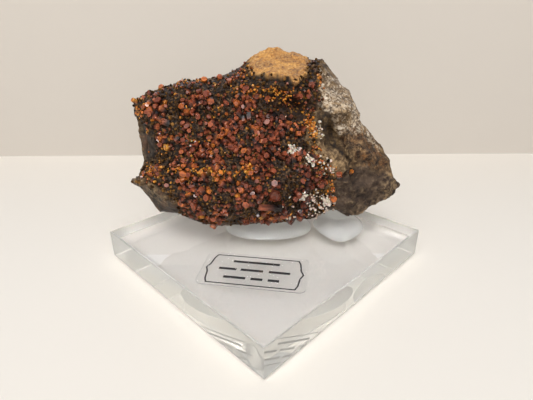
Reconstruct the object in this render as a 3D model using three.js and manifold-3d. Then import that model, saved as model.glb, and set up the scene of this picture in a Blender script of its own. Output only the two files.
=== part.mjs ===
// Vanadinite on matrix: a broken piece of host rock with a crust of hexagonal crystals on its
// front face, held by two pads of clear gel on a square acrylic slab that carries a label.
// Millimetres, +Z up. The origin is the centre of the slab's underside, and the specimen faces -Y.
import * as THREE from "three";
import { ImprovedNoise } from "three/addons/math/ImprovedNoise.js";
import { mergeVertices } from "three/addons/utils/BufferGeometryUtils.js";
import Module from "manifold-3d";

const wasm = await Module();
wasm.setup();

// ---- driving dimensions ----
const slab = { side: 76, thickness: 10, chamfer: 0.4 };
const label = { width: 31, height: 16.5, thickness: 0.15, corner: 2, at: [-2.9, -24.4], turn: -9.3 };
const GAP = 0.35; // left between pieces that touch, so that no two solids share any volume

// The specimen's own frame: u to the right, v up its face, w out of its face. It leans back.
const specimen = { centre: [0, 4, 40], lean: 18, baseHeight: 11.4 };

// The stone's outline in u, v, counter-clockwise from the right-hand side.
const outline = [
  [41, -6], [38.5, -0.5], [35.5, 3], [31, 7], [29.5, 11.5], [26, 16], [23, 20.5], [20.5, 24.5],
  [18.5, 26.5], [14.5, 26], [10, 27.5], [7, 28.5], [4, 30], [-0.5, 29], [-4, 27], [-9, 23.5],
  [-12.5, 21.3], [-21.5, 20], [-26, 21], [-32.5, 18], [-37.5, 16.5], [-42.5, 13.5], [-42, 9.5],
  [-40.3, 6], [-39.8, -1], [-39, -6.5], [-43.7, -12.5], [-40.5, -14.2], [-38, -17.3],
  [-34.5, -22.3], [-28.5, -23.4], [-20, -26.5], [-12, -27], [-3.5, -26.5], [6, -26], [15.5, -25],
  [20.7, -23.5], [24, -22.3], [27.5, -23.6], [31, -23.3], [34, -21], [40.8, -17.3],
  [45.5, -13.6], [42.5, -12],
];

// Broken faces. Each is a plane w = height - fall * (distance past a line through `at`, along `way`).
const frontFaces = [
  { at: [0, 0], way: [0.2, -1], height: 11.5, fall: -0.03 },
  { at: [16, 0], way: [1, 0.1], height: 11.8, fall: 0.4 },
  { at: [20, -10], way: [0.6, -0.8], height: 9.5, fall: 0.42 },
  { at: [5, 17.5], way: [-0.1, 1], height: 11, fall: 0.8 },
  { at: [-31, -15.5], way: [-0.48, -0.88], height: 9.6, fall: 1.15 },
  { at: [0, -21], way: [0.05, -1], height: 10.5, fall: 1.1 },
];
// The left flank falls away and meets the lower lobe in a notch, so it is the higher of two planes.
const leftFlank = { at: [-36.5, 4.5], way: [-0.83, -0.555], height: 9.8, fall: 1.7 };
const notchSide = { at: [-38, -4.5], way: [0, -1], height: 1.5, fall: -1.7 };
const backFaces = [
  { at: [0, 0], way: [1, -0.3], height: 23, fall: 0.08 },
  { at: [8, 0], way: [1, 0.75], height: 21, fall: 0.5 },
  { at: [-10, 0], way: [-1, 0.2], height: 21.5, fall: 0.5 },
  { at: [0, 3], way: [0.25, 1], height: 21.5, fall: 0.62 },
  { at: [14, -8], way: [0.95, -0.3], height: 24, fall: 0.35 },
  { at: [-22, -10], way: [-0.6, -0.8], height: 15.5, fall: 0.6 },
];
// Rises and hollows of the front face: centre, half widths, turn in degrees, height out of the face.
const relief = [
  { at: [5, 15.6], half: [12, 2.6], turn: -6, rise: 1.6 }, // brow below the top face
  { at: [7, 10.2], half: [8.5, 3.4], turn: -10, rise: -3.6 }, // hollow under the brow
  { at: [20, 3], half: [4.6, 6.5], turn: 28, rise: -2.2 }, // scooped break on the right
  { at: [15.5, -1.5], half: [2.6, 8], turn: 38, rise: 0.9 }, // ridge along the crust's edge
  { at: [31, -5.5], half: [7.5, 2.2], turn: -12, rise: 1.2 }, // rib on the right flank
  { at: [-22, 8], half: [8, 3], turn: -12, rise: -1.0 },
  { at: [-27, -3], half: [9, 2.4], turn: -2, rise: -1.3 }, // trough above the shelf
  { at: [0, -3.5], half: [9, 3], turn: 8, rise: -0.8 },
];
const shelf = { v: -6.8, width: 2.2, from: -40, to: 8, rise: 2.0 }; // the lower half stands forward

const rings = 16; // from each pole to the rim, so the rim has 4 * rings corners
const roughness = [
  { size: 13, height: 1.5 },
  { size: 5, height: 0.75 },
];

// The crust's patches, by the edge of each in u, v. Bare rock lies between them.
const drusePatches = {
  druse_upper: {
    radius: 3.1,
    edge: [
      [-40.4, 11.9], [-36, 7], [-33, 1], [-34, -4.2], [-20, -4.8], [-8, -6.4], [1, -7.4], [8, -5],
      [12, -1.5], [13, 2], [13.5, 6.2], [6, 6.4], [0.5, 8.5], [-1, 12], [-1, 18], [-4, 19.2],
      [-4.8, 24.6], [-9, 21.4], [-12.5, 19.2], [-21.5, 18.2], [-26, 18.8], [-33, 15.6], [-37, 14.2],
    ],
  },
  druse_hollow: {
    radius: 2.6,
    edge: [[0.8, 9.8], [6, 8], [12, 7.6], [16.6, 8.6], [17.5, 15], [11, 15.6], [6, 16.6], [0.8, 17.2]],
  },
  druse_right_column: { radius: 1.9, edge: [[12, 16.8], [18.6, 16.8], [18.4, 24.2], [13, 24.2]] },
  druse_lower: {
    radius: 3.1,
    edge: [
      [-40.5, -10.8], [-36.5, -6.8], [-22, -7.6], [-12, -9], [2, -10.2], [9, -8.2], [15, -4.4],
      [19, -6.4], [21.3, -11], [21.8, -20.2], [18, -22.6], [8, -23.2], [-4, -23.8], [-19, -23.6],
      [-25.6, -21.4], [-28.6, -16], [-33, -12.6],
    ],
  },
};
const druse = { spread: 1.57, rise: [1.1, 2.3], tilt: 9, jitter: 0.35, inset: 0.66 };

// Crystals that stand out singly: place, radius, height, lean away from the face, direction of lean.
const loneCrystals = {
  corner_crystal: { at: [-39.4, 12.7], radius: 1.3, rise: 1.5, lean: 12, toward: 160 },
  top_edge_crystal: { at: [-31.5, 16], radius: 1.5, rise: 1.6, lean: 14, toward: 90 },
  pink_crystal: { at: [-18, 18.0], radius: 1.0, rise: 1.4, lean: 15, toward: 100 },
  red_crystal: { at: [-13.6, 18.8], radius: 1.0, rise: 1.6, lean: 10, toward: 70 },
  large_hexagon: { at: [3.1, -15.6], radius: 1.9, rise: 2.6, lean: 6, toward: 240 },
  long_prism: { at: [-1.0, -19.4], radius: 1.25, rise: 7.5, lean: 74, toward: 2 },
  stray_crystal: { at: [22.6, -9.8], radius: 1.7, rise: 2.0, lean: 12, toward: 20 },
  stray_companion: { at: [26.4, -9.3], radius: 1.1, rise: 1.3, lean: 25, toward: 0 },
};
// Small tufts of other minerals: centre, number of crystals, their reach and one crystal's radius.
const tufts = {
  quartz_upper: { at: [9.2, -2.6], count: 3, reach: 1.9, radius: 1.15 },
  quartz_middle: { at: [14.6, -5.4], count: 3, reach: 2.0, radius: 0.95 },
  quartz_lower: { at: [12.4, -16.6], count: 3, reach: 2.2, radius: 1.1 },
  quartz_right: { at: [20.4, -18.2], count: 3, reach: 2.2, radius: 1.0 },
  quartz_bottom: { at: [8.6, -23.2], count: 3, reach: 2.0, radius: 1.1 },
  yellow_bottom: { at: [2.6, -23.0], count: 3, reach: 2.2, radius: 1.0 },
  orange_edge: { at: [13.8, 4.2], count: 3, reach: 2.2, radius: 1.0 },
  yellow_shelf: { at: [-3.5, -7.5], count: 3, reach: 1.8, radius: 0.95 },
};

// The gel under the stone: each pad is a thin skirt and the thick core that the stone sits in.
// Centre on the slab, half widths and height, turn in degrees.
const pads = {
  gel_pad_front: [
    { at: [1.4, 4], half: [15.4, 10.8, 2.6], turn: 0 },
    { at: [0, 7], half: [12, 7.5, 4.8], turn: 0 },
  ],
  gel_pad_right: [
    { at: [26.6, 4.4], half: [8.8, 12.8, 2.4], turn: -8 },
    { at: [25.4, 10.5], half: [6.6, 6.4, 6.2], turn: 0 },
  ],
};

const colours = {
  acrylic: { color: 0xeef2f2, roughness: 0.05, metalness: 0, transparent: true, opacity: 0.35 },
  film: { color: 0xe6e4df, roughness: 0.3, metalness: 0, transparent: true, opacity: 0.6 },
  gel: { color: 0xdfe0d8, roughness: 0.2, metalness: 0, transparent: true, opacity: 0.7 },
  rock: { color: 0x5d4a39, roughness: 0.85, metalness: 0 },
  vanadinite: { color: 0x8c3b22, roughness: 0.3, metalness: 0 },
  quartz: { color: 0xe3dccf, roughness: 0.3, metalness: 0 },
  yellowCrust: { color: 0xc07a22, roughness: 0.45, metalness: 0 },
};

// ---- small tools ----
function materialOf(name) {
  return new THREE.MeshStandardMaterial({ name, ...colours[name] });
}

function meshOf(name, geometry, material) {
  const mesh = new THREE.Mesh(geometry, material);
  mesh.name = name;
  return mesh;
}

function solidOf(geometry) {
  const bare = geometry.index ? geometry.toNonIndexed() : geometry.clone();
  bare.deleteAttribute("normal");
  bare.deleteAttribute("uv");
  const merged = mergeVertices(bare, 1e-3);
  return new wasm.Manifold(
    new wasm.Mesh({
      numProp: 3,
      vertProperties: merged.attributes.position.array,
      triVerts: new Uint32Array(merged.index.array),
    }),
  );
}

function geometryOf(solid) {
  const { vertProperties, triVerts, numProp, numVert } = solid.getMesh();
  const positions = new Float32Array(numVert * 3);
  for (let i = 0; i < numVert; i++)
    positions.set(vertProperties.subarray(i * numProp, i * numProp + 3), i * 3);
  const geometry = new THREE.BufferGeometry();
  geometry.setAttribute("position", new THREE.BufferAttribute(positions, 3));
  geometry.setIndex(new THREE.BufferAttribute(new Uint32Array(triVerts), 1));
  geometry.computeVertexNormals();
  return geometry;
}

function joined(solids) {
  return solids.reduce((all, one) => all.add(one));
}

// The largest single body of a solid: a cut can leave slivers beside it.
function largestBody(solid) {
  return solid.decompose().sort((a, b) => b.volume() - a.volume())[0];
}

function random(low, high) {
  return THREE.MathUtils.lerp(low, high, THREE.MathUtils.seededRandom());
}

// ---- the stone ----
const noise = new ImprovedNoise();

function planeHeight(face, u, v) {
  const length = Math.hypot(...face.way);
  const past = ((u - face.at[0]) * face.way[0] + (v - face.at[1]) * face.way[1]) / length;
  return face.height - face.fall * past;
}

function reliefHeight(u, v) {
  let height = 0;
  for (const { at, half, turn, rise } of relief) {
    const angle = THREE.MathUtils.degToRad(turn);
    const du = u - at[0];
    const dv = v - at[1];
    const along = (du * Math.cos(angle) + dv * Math.sin(angle)) / half[0];
    const across = (dv * Math.cos(angle) - du * Math.sin(angle)) / half[1];
    height += rise * Math.exp(-along * along - across * across);
  }
  const below = THREE.MathUtils.smoothstep(-v, -shelf.v - shelf.width / 2, -shelf.v + shelf.width / 2);
  const alongShelf =
    THREE.MathUtils.smoothstep(u, shelf.from, shelf.from + 10) *
    (1 - THREE.MathUtils.smoothstep(u, shelf.to - 8, shelf.to));
  return height + shelf.rise * below * alongShelf;
}

function roughHeight(u, v, w) {
  return roughness.reduce(
    (sum, { size, height }) => sum + height * noise.noise(u / size + 7.3, v / size + 2.9, w / size + 5.1),
    0,
  );
}

function frontHeight(u, v) {
  const flank = Math.max(planeHeight(leftFlank, u, v), planeHeight(notchSide, u, v));
  const broken = Math.min(flank, ...frontFaces.map((face) => planeHeight(face, u, v)));
  return Math.max(1.2, broken + reliefHeight(u, v));
}

function backHeight(u, v) {
  const lean = THREE.MathUtils.degToRad(specimen.lean);
  const base = (specimen.centre[2] - specimen.baseHeight + v * Math.cos(lean)) / Math.sin(lean);
  return Math.max(1.5, Math.min(base, ...backFaces.map((face) => planeHeight(face, u, v))));
}

// Point of the stone's surface for a point of the octahedron |x| + |y| + |z| = 1: z runs from the
// front pole to the back one, and the walk round the diamond x, y is the walk round the outline.
function stonePoint(x, y, z, grown) {
  const round = Math.abs(x) + Math.abs(y);
  if (round < 1e-6) {
    const pole = z > 0 ? frontHeight(0, 0) + grown : -backHeight(0, 0) - grown;
    return new THREE.Vector3(0, 0, pole);
  }
  const quarter = y >= 0 ? (x > 0 ? 0 : 1) : x < 0 ? 2 : 3;
  const part = quarter % 2 === 0 ? Math.abs(y) / round : Math.abs(x) / round;
  const stepped = ((quarter + part) / 4) * outline.length;
  const nearest = Math.round(stepped);
  const walk = Math.abs(stepped - nearest) < 0.35 ? nearest : stepped; // keeps the outline's corners
  const corner = Math.floor(walk);
  const from = outline[corner % outline.length];
  const to = outline[(corner + 1) % outline.length];
  const share = walk - corner;
  const rim = new THREE.Vector2(
    THREE.MathUtils.lerp(from[0], to[0], share),
    THREE.MathUtils.lerp(from[1], to[1], share),
  );
  const reach = Math.pow(round, 0.85);
  const spot = rim.clone().multiplyScalar(reach + (grown * reach) / rim.length());
  const edge = Math.pow(Math.max(0, 1 - Math.pow(round, 7)), 0.55);
  const height = z > 0 ? frontHeight(spot.x, spot.y) : backHeight(spot.x, spot.y);
  const w = Math.sign(z) * (height * edge + grown);
  const rough = roughHeight(spot.x, spot.y, w) * Math.min(1, edge * 1.6) * Math.sign(z);
  return new THREE.Vector3(spot.x, spot.y, Math.abs(z) < 1e-6 ? 0 : w + rough);
}

function stoneGeometry(grown = 0) {
  const geometry = mergeVertices(bareOctahedron(rings - 1), 1e-4);
  const position = geometry.attributes.position;
  for (let i = 0; i < position.count; i++) {
    const [x, y, z] = [position.getX(i), position.getY(i), position.getZ(i)];
    const sum = Math.abs(x) + Math.abs(y) + Math.abs(z);
    const point = stonePoint(x / sum, y / sum, z / sum, grown);
    position.setXYZ(i, point.x, point.y, point.z);
  }
  geometry.computeVertexNormals();
  return geometry;
}

function bareOctahedron(detail) {
  const geometry = new THREE.OctahedronGeometry(1, detail);
  geometry.deleteAttribute("normal");
  geometry.deleteAttribute("uv");
  return geometry;
}

// ---- crystals ----
const stone = stoneGeometry();
const stoneMesh = meshOf("matrix", stone, materialOf("rock"));
stoneMesh.updateMatrixWorld();
const grownStone = solidOf(stoneGeometry(GAP));

// Where the front face is, and which way it looks, above a place u, v.
function faceAt(u, v) {
  const down = new THREE.Raycaster(new THREE.Vector3(u, v, 60), new THREE.Vector3(0, 0, -1));
  const hit = down.intersectObject(stoneMesh)[0];
  return hit && { point: hit.point, normal: hit.face.normal.clone() };
}

// A hexagonal prism whose foot is sunk in the stone, grown all round by `grown`.
function prism({ point, direction, radius, rise, turn }, grown = 0) {
  const sunk = 1.6;
  const shape = new THREE.CylinderGeometry(radius + grown, radius + grown, rise + sunk + grown, 6, 1);
  shape.translate(0, (rise + grown - sunk) / 2, 0);
  shape.rotateY(turn);
  shape.applyQuaternion(new THREE.Quaternion().setFromUnitVectors(new THREE.Vector3(0, 1, 0), direction));
  shape.translate(point.x, point.y, point.z);
  return solidOf(shape);
}

function leaning(normal, lean, toward) {
  const out = new THREE.Vector3(0, 0, 1).lerp(normal, 0.55).normalize();
  const [tilt, heading] = [THREE.MathUtils.degToRad(lean), THREE.MathUtils.degToRad(toward)];
  const side = new THREE.Vector3(Math.cos(heading), Math.sin(heading), 0);
  return out.multiplyScalar(Math.cos(tilt)).addScaledVector(side, Math.sin(tilt)).normalize();
}

function insideOutline(polygon, u, v) {
  let inside = false;
  polygon.forEach(([ua, va], i) => {
    const [ub, vb] = polygon[(i + 1) % polygon.length];
    if (va > v !== vb > v && u < ((ub - ua) * (v - va)) / (vb - va) + ua) inside = !inside;
  });
  return inside;
}

function keepsInside(polygon, u, v, inset) {
  const headings = [0, 60, 120, 180, 240, 300].map(THREE.MathUtils.degToRad);
  return headings.every((h) => insideOutline(polygon, u + inset * Math.cos(h), v + inset * Math.sin(h)));
}

function loneCrystalPlan([name, { at, radius, rise, lean, toward }]) {
  const { point, normal } = faceAt(...at);
  const direction = leaning(normal, lean, toward);
  return { name, kind: "vanadinite", crystals: [{ point, direction, radius, rise, turn: 0.3 }] };
}

// The first crystal of a tuft stands at its centre, and the others lean away round it.
function tuftPlan([name, { at, count, reach, radius }]) {
  const crystals = [];
  for (let i = 0; i < count; i++) {
    const heading = (i / count) * 360;
    const offset = i === 0 ? 0 : reach / 2;
    const u = at[0] + offset * Math.cos(THREE.MathUtils.degToRad(heading));
    const v = at[1] + offset * Math.sin(THREE.MathUtils.degToRad(heading));
    const { point, normal } = faceAt(u, v);
    const direction = leaning(normal, i === 0 ? 0 : random(10, 20), heading);
    crystals.push({ point, direction, radius, rise: random(1.0, 1.9), turn: random(0, 1) });
  }
  const kind = name.startsWith("quartz") ? "quartz" : "yellowCrust";
  const hole = { ...crystals[0], radius: reach / 2 + radius + 0.8, rise: 3 };
  return { name, kind, crystals, room: [hole, ...crystals] };
}

// A patch's crystals stand on a jittered triangular grid, and keep inside the patch's edge.
function drusePlan([name, { radius, edge }]) {
  const crystals = [];
  const box = new THREE.Box2().setFromPoints(edge.map((corner) => new THREE.Vector2(...corner)));
  const step = radius * druse.spread;
  const rowStep = (step * Math.sqrt(3)) / 2;
  const inset = radius * druse.inset;
  const lastRow = Math.floor((box.max.y - box.min.y - 2 * inset) / rowStep);
  const lastColumn = Math.floor((box.max.x - box.min.x - 2 * inset) / step);
  for (let row = 0; row <= lastRow; row++)
    for (let column = 0; column <= lastColumn; column++) {
      const fromMiddle = [column + (row % 2) / 2 - lastColumn / 2, row - lastRow / 2];
      const u = (box.min.x + box.max.x) / 2 + fromMiddle[0] * step + random(-druse.jitter, druse.jitter);
      const v = (box.min.y + box.max.y) / 2 + fromMiddle[1] * rowStep + random(-druse.jitter, druse.jitter);
      const lean = [random(0, druse.tilt), random(0, 360)];
      const [rise, turn] = [random(...druse.rise), random(0, 1)];
      if (!keepsInside(edge, u, v, inset)) continue;
      const { point, normal } = faceAt(u, v);
      crystals.push({ point, direction: leaning(normal, ...lean), radius, rise, turn });
    }
  return { name, kind: "vanadinite", crystals };
}

// Each group of crystals is one body: its prisms joined, less the stone and the room of the groups
// before it. That room is the group's own crystals, grown, with one wide prism more round a tuft.
function crystalMeshes() {
  THREE.MathUtils.seededRandom(11);
  const plans = [
    ...Object.entries(loneCrystals).map(loneCrystalPlan),
    ...Object.entries(tufts).map(tuftPlan),
    ...Object.entries(drusePatches).map(drusePlan),
  ];
  let taken = grownStone;
  return plans.map(({ name, kind, crystals, room }) => {
    const body = largestBody(joined(crystals.map((crystal) => prism(crystal))).subtract(taken));
    taken = taken.add(joined((room ?? crystals).map((crystal) => prism(crystal, GAP))));
    return meshOf(name, geometryOf(body), materialOf(kind));
  });
}

function specimenGroup() {
  const group = new THREE.Group();
  group.rotation.x = Math.PI / 2 - THREE.MathUtils.degToRad(specimen.lean);
  group.position.set(...specimen.centre);
  group.add(stoneMesh, ...crystalMeshes());
  group.updateMatrixWorld(true);
  return group;
}

// ---- the stand ----
function slabMesh() {
  const half = slab.side / 2 - slab.chamfer;
  const corners = [[-half, -half], [half, -half], [half, half], [-half, half]];
  const square = new THREE.Shape(corners.map((corner) => new THREE.Vector2(...corner)));
  const geometry = new THREE.ExtrudeGeometry(square, {
    depth: slab.thickness - 2 * slab.chamfer,
    bevelThickness: slab.chamfer,
    bevelSize: slab.chamfer,
    bevelSegments: 2,
  });
  geometry.translate(0, 0, slab.chamfer);
  const mesh = meshOf("slab", geometry, materialOf("acrylic"));
  mesh.rotation.z = Math.PI / 4; // one corner points to the front
  return mesh;
}

function labelMesh() {
  const [halfWidth, halfHeight] = [label.width / 2, label.height / 2];
  const shape = new THREE.Shape();
  shape.moveTo(halfWidth - label.corner, -halfHeight);
  for (const [sx, sy, start] of [[1, -1, -0.5], [1, 1, 0], [-1, 1, 0.5], [-1, -1, 1]])
    shape.absarc(
      sx * (halfWidth - label.corner),
      sy * (halfHeight - label.corner),
      label.corner,
      start * Math.PI,
      (start + 0.5) * Math.PI,
    );
  const extrusion = { depth: label.thickness, bevelEnabled: false, curveSegments: 3 };
  const geometry = new THREE.ExtrudeGeometry(shape, extrusion);
  const mesh = meshOf("label", geometry, materialOf("film"));
  mesh.position.set(...label.at, slab.thickness);
  mesh.rotation.z = THREE.MathUtils.degToRad(label.turn);
  return mesh;
}

// The top half of a flattened ball that stands on the slab.
function dropSolid({ at, half, turn }) {
  const ball = new THREE.SphereGeometry(1, 20, 10);
  ball.scale(...half);
  ball.rotateZ(THREE.MathUtils.degToRad(turn));
  ball.translate(...at, slab.thickness);
  const aboveSlab = new THREE.BoxGeometry(slab.side, slab.side, 20).translate(0, 0, slab.thickness + 10);
  return solidOf(ball).intersect(solidOf(aboveSlab));
}

function padMesh(name, stoneInPlace) {
  const body = joined(pads[name].map(dropSolid)).subtract(stoneInPlace);
  return meshOf(name, geometryOf(largestBody(body)), materialOf("gel"));
}

const part = new THREE.Group();
const standing = specimenGroup();
const stoneInPlace = solidOf(stoneGeometry(GAP).applyMatrix4(standing.matrixWorld));
part.add(slabMesh(), labelMesh(), standing);
for (const name of Object.keys(pads)) part.add(padMesh(name, stoneInPlace));

export default part;
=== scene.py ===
# Vanadinite on matrix: a crust of red-brown hexagonal crystals on a broken stone, which is held by
# two pads of clear gel on an acrylic slab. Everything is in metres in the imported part's own frame.
import math

import bmesh
import bpy
import numpy as np
from mathutils import Matrix, Vector, noise
from mathutils.bvhtree import BVHTree


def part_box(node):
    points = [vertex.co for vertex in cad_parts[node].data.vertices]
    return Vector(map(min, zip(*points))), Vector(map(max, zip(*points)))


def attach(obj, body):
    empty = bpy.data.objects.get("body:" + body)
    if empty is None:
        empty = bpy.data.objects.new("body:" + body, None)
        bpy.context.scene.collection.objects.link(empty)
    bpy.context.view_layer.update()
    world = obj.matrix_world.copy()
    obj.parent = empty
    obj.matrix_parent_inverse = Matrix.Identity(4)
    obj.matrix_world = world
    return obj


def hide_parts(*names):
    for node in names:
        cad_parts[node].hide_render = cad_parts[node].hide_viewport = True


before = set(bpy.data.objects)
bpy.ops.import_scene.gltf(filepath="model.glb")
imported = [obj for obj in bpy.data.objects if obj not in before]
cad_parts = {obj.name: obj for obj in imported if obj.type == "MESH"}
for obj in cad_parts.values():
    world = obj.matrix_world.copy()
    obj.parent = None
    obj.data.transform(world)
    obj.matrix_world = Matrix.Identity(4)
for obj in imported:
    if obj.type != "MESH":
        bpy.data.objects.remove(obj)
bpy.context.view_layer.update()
mm = 0.001
print("stage: frame loaded,", len(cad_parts), "nodes")

# the stone's own axes: u to the right, v up its face, w out of its face, in millimetres
stonePose = {"centre": (0.0, 4.0, 40.0), "lean": 18.0}
leanBack = math.radians(stonePose["lean"])
stoneAxes = np.array([
    [1, 0, 0],
    [0, math.sin(leanBack), math.cos(leanBack)],
    [0, -math.cos(leanBack), math.sin(leanBack)],
])


def toStone(points):
    return (np.asarray(points) / mm - stonePose["centre"]) @ stoneAxes.T


def toWorld(points):
    return (np.asarray(points) @ stoneAxes + stonePose["centre"]) * mm


def directionToWorld(vector):
    return Vector(np.asarray(vector) @ stoneAxes)


# small tools for meshes
def mergedCopy(node):
    bm = bmesh.new()
    bm.from_mesh(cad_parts[node].data)
    bmesh.ops.remove_doubles(bm, verts=bm.verts, dist=1e-6)
    return bm


def meshOf(name, bm, smooth=False):
    mesh = bpy.data.meshes.new(name)
    bm.to_mesh(mesh)
    bm.free()
    mesh.polygons.foreach_set("use_smooth", [smooth] * len(mesh.polygons))
    return mesh


def newObject(name, mesh, material):
    made = bpy.data.objects.new(name, mesh)
    bpy.context.scene.collection.objects.link(made)
    mesh.materials.append(material)
    return made


def finishPiece(name, mesh, material, replaced=()):
    piece = newObject(name, mesh, material)
    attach(piece, "root")
    if replaced:
        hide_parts(*replaced)
    return piece


def setAttribute(mesh, name, values, domain="POINT"):
    attribute = mesh.attributes.new(name, "FLOAT", domain)
    attribute.data.foreach_set("value", np.asarray(values, np.float32))


# small tools for materials
def linear(hexColour):
    parts = [int(hexColour[i:i + 2], 16) / 255 for i in (1, 3, 5)]
    return tuple(c / 12.92 if c <= 0.04045 else ((c + 0.055) / 1.055) ** 2.4 for c in parts) + (1.0,)


def perSize(millimetres):
    return 1 / (millimetres * mm)  # a texture's scale, for a pattern whose features are that far apart


def newMaterial(name):
    material = bpy.data.materials.new(name)
    material.use_nodes = True
    material.node_tree.nodes.clear()
    return material, material.node_tree


def setStops(band, stops):
    while len(band.elements) > len(stops):
        band.elements.remove(band.elements[-1])
    while len(band.elements) < len(stops):
        band.elements.new(1.0)
    for element, (position, colour) in zip(band.elements, stops):
        element.position = position
        element.color = linear(colour) if isinstance(colour, str) else (colour, colour, colour, 1)


def addNode(tree, kind, settings=None):
    # a setting is a value, a hex colour, another node's output, or the stops of a ramp
    node = tree.nodes.new(kind)
    for key, value in (settings or {}).items():
        if key == "stops":
            setStops(node.color_ramp, value)
        elif isinstance(value, bpy.types.NodeSocket):
            tree.links.new(value, node.inputs[key])
        elif isinstance(key, int) or key in node.inputs:
            node.inputs[key].default_value = linear(value) if isinstance(value, str) else value
        else:
            setattr(node, key, value)
    return node


def paintWith(material, surface):
    shader = addNode(material.node_tree, "ShaderNodeBsdfPrincipled", surface)
    addNode(material.node_tree, "ShaderNodeOutputMaterial", {"Surface": shader.outputs[0]})
    return material


# zones of the stone's face, each by its edge in u, v
zones = {
    "crust": [
        (-42, 12.5), (-39.5, 9.5), (-36.8, 4), (-33.5, -1), (-35.5, -4.5), (-38.5, -8), (-42, -11.5),
        (-38.9, -10.9), (-34.8, -12), (-29.4, -15.4), (-26.6, -20), (-28, -23.8), (-20, -27.5),
        (-3.5, -27.5), (15, -26), (19.6, -24), (19.2, -21.6), (22.4, -19.4), (21.6, -16.4), (19.4, -14.2),
        (21.8, -11.6), (19.6, -8.6), (17.8, -6), (15.6, -4.6), (14.4, -3),
        (12.3, 1.5), (13.6, 6), (16.5, 9.4), (17.4, 14.5), (17.2, 20), (17.8, 26.5), (13.9, 26.6),
        (13.4, 21), (10.6, 17.2), (9, 16.2), (6.4, 17.9), (1.8, 18.3), (-2.8, 19.2), (-4.2, 22),
        (-4.6, 27.5), (-9, 24.5), (-12.5, 22), (-26, 22), (-37.5, 17.5), (-43, 14.5),
    ],
    "cap": [
        (-4.6, 28), (-4.2, 22), (-2.8, 19.4), (1.8, 18.6), (6.4, 18.1), (9, 16.4), (10.9, 17.4),
        (13.2, 21), (13.9, 25.2), (12.5, 29), (4, 32), (-2, 31),
    ],
    "scoop": [
        (14, 7.4), (17.4, 9.2), (20.5, 7.4), (23, 3.1), (25.3, -1.8), (26, -5.4), (22.4, -6), (18.2, -3),
        (15, 0.7),
    ],
    "pale": [
        (16.9, 24), (20.9, 22), (24.9, 16), (29, 11), (31, 6.6), (35.5, 3.6), (38.5, -2), (36.1, -2.5),
        (31.3, 2.1), (26.7, 3.7), (23.6, 1.6), (21.4, 5.7), (18.9, 9.4), (15.8, 11.2),
    ],
    "brown": [
        (25.1, 4.3), (29.1, 5.2), (33.5, 2.1), (37.7, -2.5), (40.4, -8.1), (35.7, -9.3), (30.6, -6.5),
        (26.8, -3.1), (24.3, 0.6),
    ],
    "dark": [
        (22.2, -10.2), (26.9, -8), (32.5, -8), (37.8, -9.3), (46, -13.1), (41.2, -17.5), (36.6, -21),
        (30.9, -23.9), (24, -24.8), (19.2, -23.5), (20.1, -14.9),
    ],
    "flank": [(-43, 12), (-39.9, 9.6), (-37.2, 4), (-33.7, -1), (-35.8, -4.5), (-40, -6), (-43, 0)],
    "facet": [
        (-45, -12), (-38.9, -10.9), (-34.8, -12), (-29.4, -15.4), (-26.8, -20), (-28.4, -25), (-40, -20),
    ],
}
# the recess below the cap is painted near-black as its shade
hollow = ((7.2, 10.6), (7.0, 2.9), -10)  # the dark recess below the cap: middle, half widths, turn
bareSpots = [  # where few crystals stand
    ((-17, 16.6), (4.6, 1.6), 0),
    ((-26.5, 18.5), (7.5, 3.2), 10),
    ((-12, 19.5), (6.0, 3.0), 20),
    ((-29.5, 4.0), (3.2, 1.6), 30),
    ((-19.5, 7.0), (2.2, 1.2), 10),
    ((-4.5, -20.8), (5.5, 1.5), 12),
    ((-15.5, -18.4), (3.5, 1.6), 5),
    ((-23.0, -4.6), (8.0, 0.9), -4),
    ((9.5, -11.5), (3.5, 1.8), 0),
    ((15.5, -14.5), (2.5, 2.0), 0),
    ((15.0, -21.5), (5.0, 2.4), 0),
    ((3.5, 15.5), (7.0, 1.6), -8),
    hollow,
]


def edgeDistance(edge, u, v):
    # distance to the edge in millimetres, below zero outside it
    nearest = np.full(np.shape(u), 1e9)
    inside = np.zeros(np.shape(u), bool)
    for (ua, va), (ub, vb) in zip(edge, edge[1:] + edge[:1]):
        length = (ub - ua) ** 2 + (vb - va) ** 2
        along = np.clip(((u - ua) * (ub - ua) + (v - va) * (vb - va)) / length, 0, 1)
        nearest = np.minimum(nearest, np.hypot(u - ua - along * (ub - ua), v - va - along * (vb - va)))
        crosses = (va > v) != (vb > v)
        inside ^= crosses & (u < (ub - ua) * (v - va) / (vb - va + 1e-12) + ua)
    return np.where(inside, nearest, -nearest)


def ramp(low, high, values):
    share = np.clip((np.asarray(values) - low) / (high - low), 0, 1)
    return share * share * (3 - 2 * share)


def spot(middle, half, degrees, u, v):
    # 1 in the middle of a turned oval, fading to 0 outside it
    turn = math.radians(degrees)
    du, dv = u - middle[0], v - middle[1]
    along = (du * math.cos(turn) + dv * math.sin(turn)) / half[0]
    across = (dv * math.cos(turn) - du * math.sin(turn)) / half[1]
    return np.exp(-(along * along + across * across))


noiseShape = (0.9, 2.1)  # how much finer octaves fade, and how much finer each one is


def fractal(points, size, octaves=3, seed=0.0):
    shift = Vector((seed, seed * 1.7, seed * 0.6))
    return np.array([noise.fractal(Vector(point) / size + shift, *noiseShape, octaves) for point in points])


def chips(points, spacing, dish, tilt, seed):
    # hollows left by broken-off flakes: each a shallow bowl round its own middle, meeting in ridges
    rng = np.random.default_rng(seed)
    table = 24  # the pattern repeats after this many chips
    places = rng.random((table, table, table, 3))
    tilts = rng.normal(0, tilt, (table, table, table, 3))
    scaled = points / spacing
    cell = np.floor(scaled).astype(int)
    height = np.full(len(points), 1e9)
    for step in np.ndindex(3, 3, 3):
        other = cell + np.array(step) - 1
        wrapped = tuple((other % table).T)
        away = scaled - other - places[wrapped]
        plane = dish * (away * away).sum(1) + (away * tilts[wrapped]).sum(1)
        height = np.minimum(height, plane)
    return height * spacing


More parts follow.
